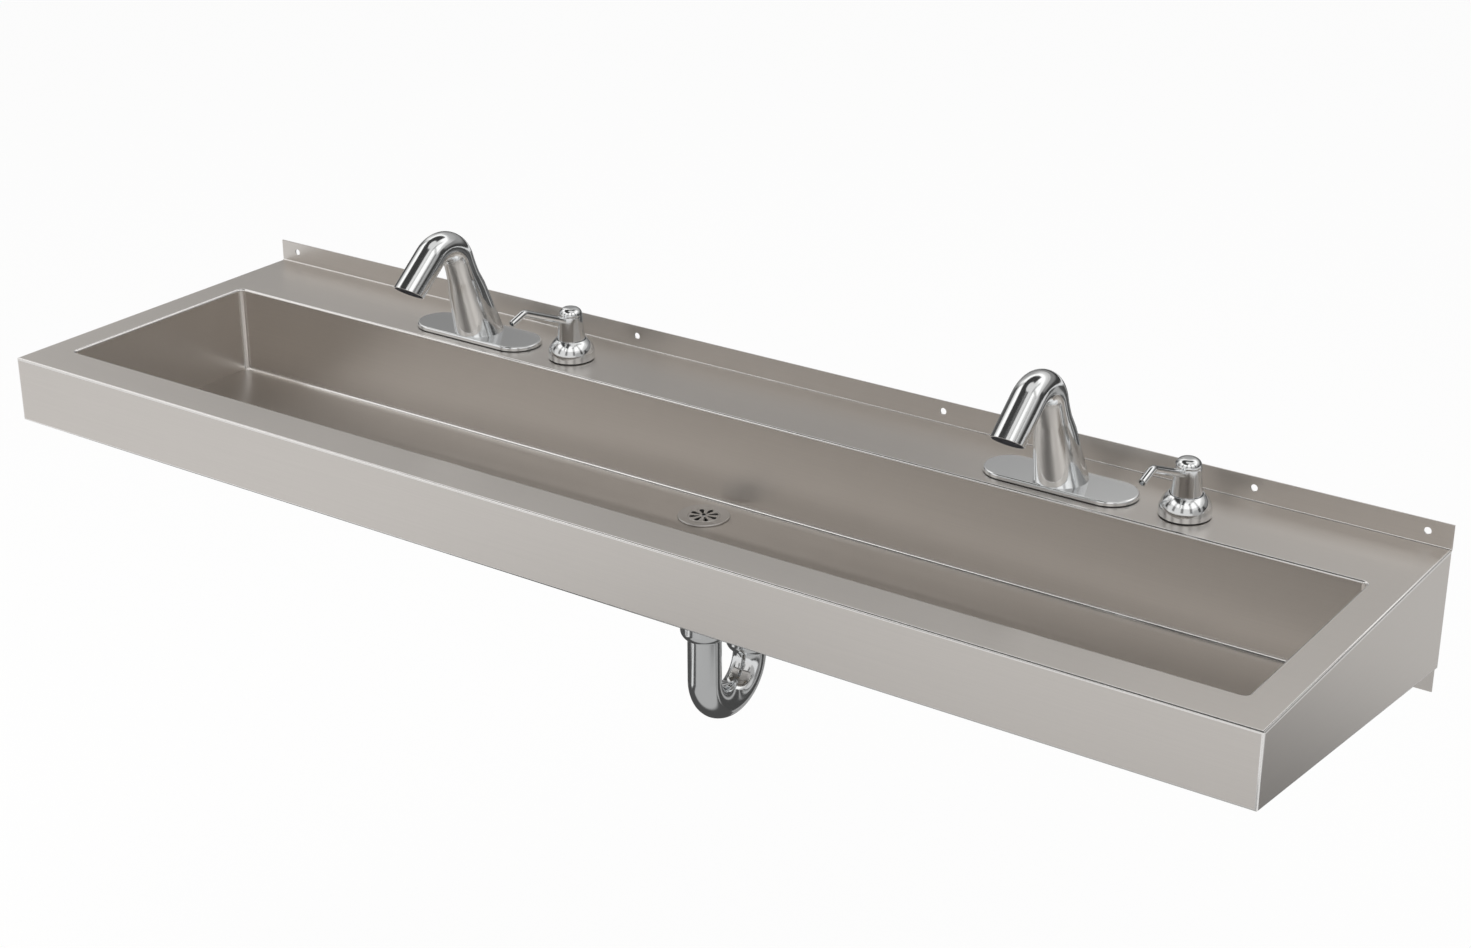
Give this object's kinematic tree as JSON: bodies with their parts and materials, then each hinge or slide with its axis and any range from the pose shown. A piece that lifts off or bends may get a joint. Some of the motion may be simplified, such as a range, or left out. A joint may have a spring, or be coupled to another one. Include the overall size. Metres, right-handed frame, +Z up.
{
  "type": "wall-hung trough sink",
  "caption": "Long wall-hung stainless trough sink with sensor faucets, deck soap pumps and a P-trap.",
  "frame": {"origin": "on the wall, midway between the wall holes, at their height", "axes": "+X along the sink to the viewer's right, +Y into the wall, +Z up"},
  "size_m": [1.524, 0.4718, 0.5032],
  "materials": {
    "stainless": "satin, brushed along the length",
    "strainer_steel": "satin",
    "chrome": "polished chrome plate",
    "brass": "machined",
    "rubber": "matt",
    "fibre": "matt fibre",
    "dark_plastic": "matt",
    "lens": "glossy",
    "bottle": "satin moulded",
    "white_plastic": "moulded",
    "spring_steel": "drawn wire"
  },
  "bodies": {
    "sink": {"deck_and_apron": "stainless", "left_end_panel": "stainless", "right_end_panel": "stainless", "basin": "stainless", "rear_skirt": "stainless", "strainer_body": "strainer_steel", "strainer_grid": "strainer_steel", "strainer_screw": "strainer_steel", "drain_gasket": "rubber", "drain_washer": "fibre", "drain_locknut": "brass", "tailpiece": "chrome", "trap_inlet_nut": "chrome", "trap_inlet_washer": "rubber", "trap_j_bend": "chrome", "trap_outlet_nut": "chrome", "trap_outlet_washer": "rubber", "trap_arm": "chrome", "wall_escutcheon": "chrome", "left_deck_plate": "chrome", "left_plate_gasket": "rubber", "left_faucet_body": "chrome", "left_aerator": "dark_plastic", "left_sensor_lens": "lens", "left_faucet_shank": "brass", "left_faucet_washer": "rubber", "left_faucet_nut": "brass", "left_dispenser_flange": "chrome", "left_dispenser_gasket": "rubber", "left_dispenser_locknut": "brass", "left_soap_bottle": "bottle", "left_pump_cylinder": "white_plastic", "left_pump_cap": "white_plastic", "left_dip_tube": "white_plastic", "left_pump_spring": "spring_steel", "right_deck_plate": "chrome", "right_plate_gasket": "rubber", "right_faucet_body": "chrome", "right_aerator": "dark_plastic", "right_sensor_lens": "lens", "right_faucet_shank": "brass", "right_faucet_washer": "rubber", "right_faucet_nut": "brass", "right_dispenser_flange": "chrome", "right_dispenser_gasket": "rubber", "right_dispenser_locknut": "brass", "right_soap_bottle": "bottle", "right_pump_cylinder": "white_plastic", "right_pump_cap": "white_plastic", "right_dip_tube": "white_plastic", "right_pump_spring": "spring_steel"},
    "left_plunger": {"left_pump_piston": "white_plastic"},
    "left_head": {"left_pump_head": "chrome"},
    "right_plunger": {"right_pump_piston": "white_plastic"},
    "right_head": {"right_pump_head": "chrome"}
  },
  "joints": [
    {"name": "left_head_press", "type": "slide", "parent": "sink", "child": "left_plunger", "axis": [0, 0, -1], "range_m": [0, 0.014], "stiffness_N_per_m": 500, "springref_m": -0.008, "deforming": ["left_pump_spring"]},
    {"name": "left_head_swivel", "type": "hinge", "parent": "left_plunger", "child": "left_head", "pos_m": [-0.244, -0.071, 0.0163], "axis": [0, 0, 1], "range_deg": [-125, 125]},
    {"name": "right_head_press", "type": "slide", "parent": "sink", "child": "right_plunger", "axis": [0, 0, -1], "range_m": [0, 0.014], "stiffness_N_per_m": 500, "springref_m": -0.008, "deforming": ["right_pump_spring"]},
    {"name": "right_head_swivel", "type": "hinge", "parent": "right_plunger", "child": "right_head", "pos_m": [0.518, -0.071, 0.0163], "axis": [0, 0, 1], "range_deg": [-125, 125]}
  ]
}
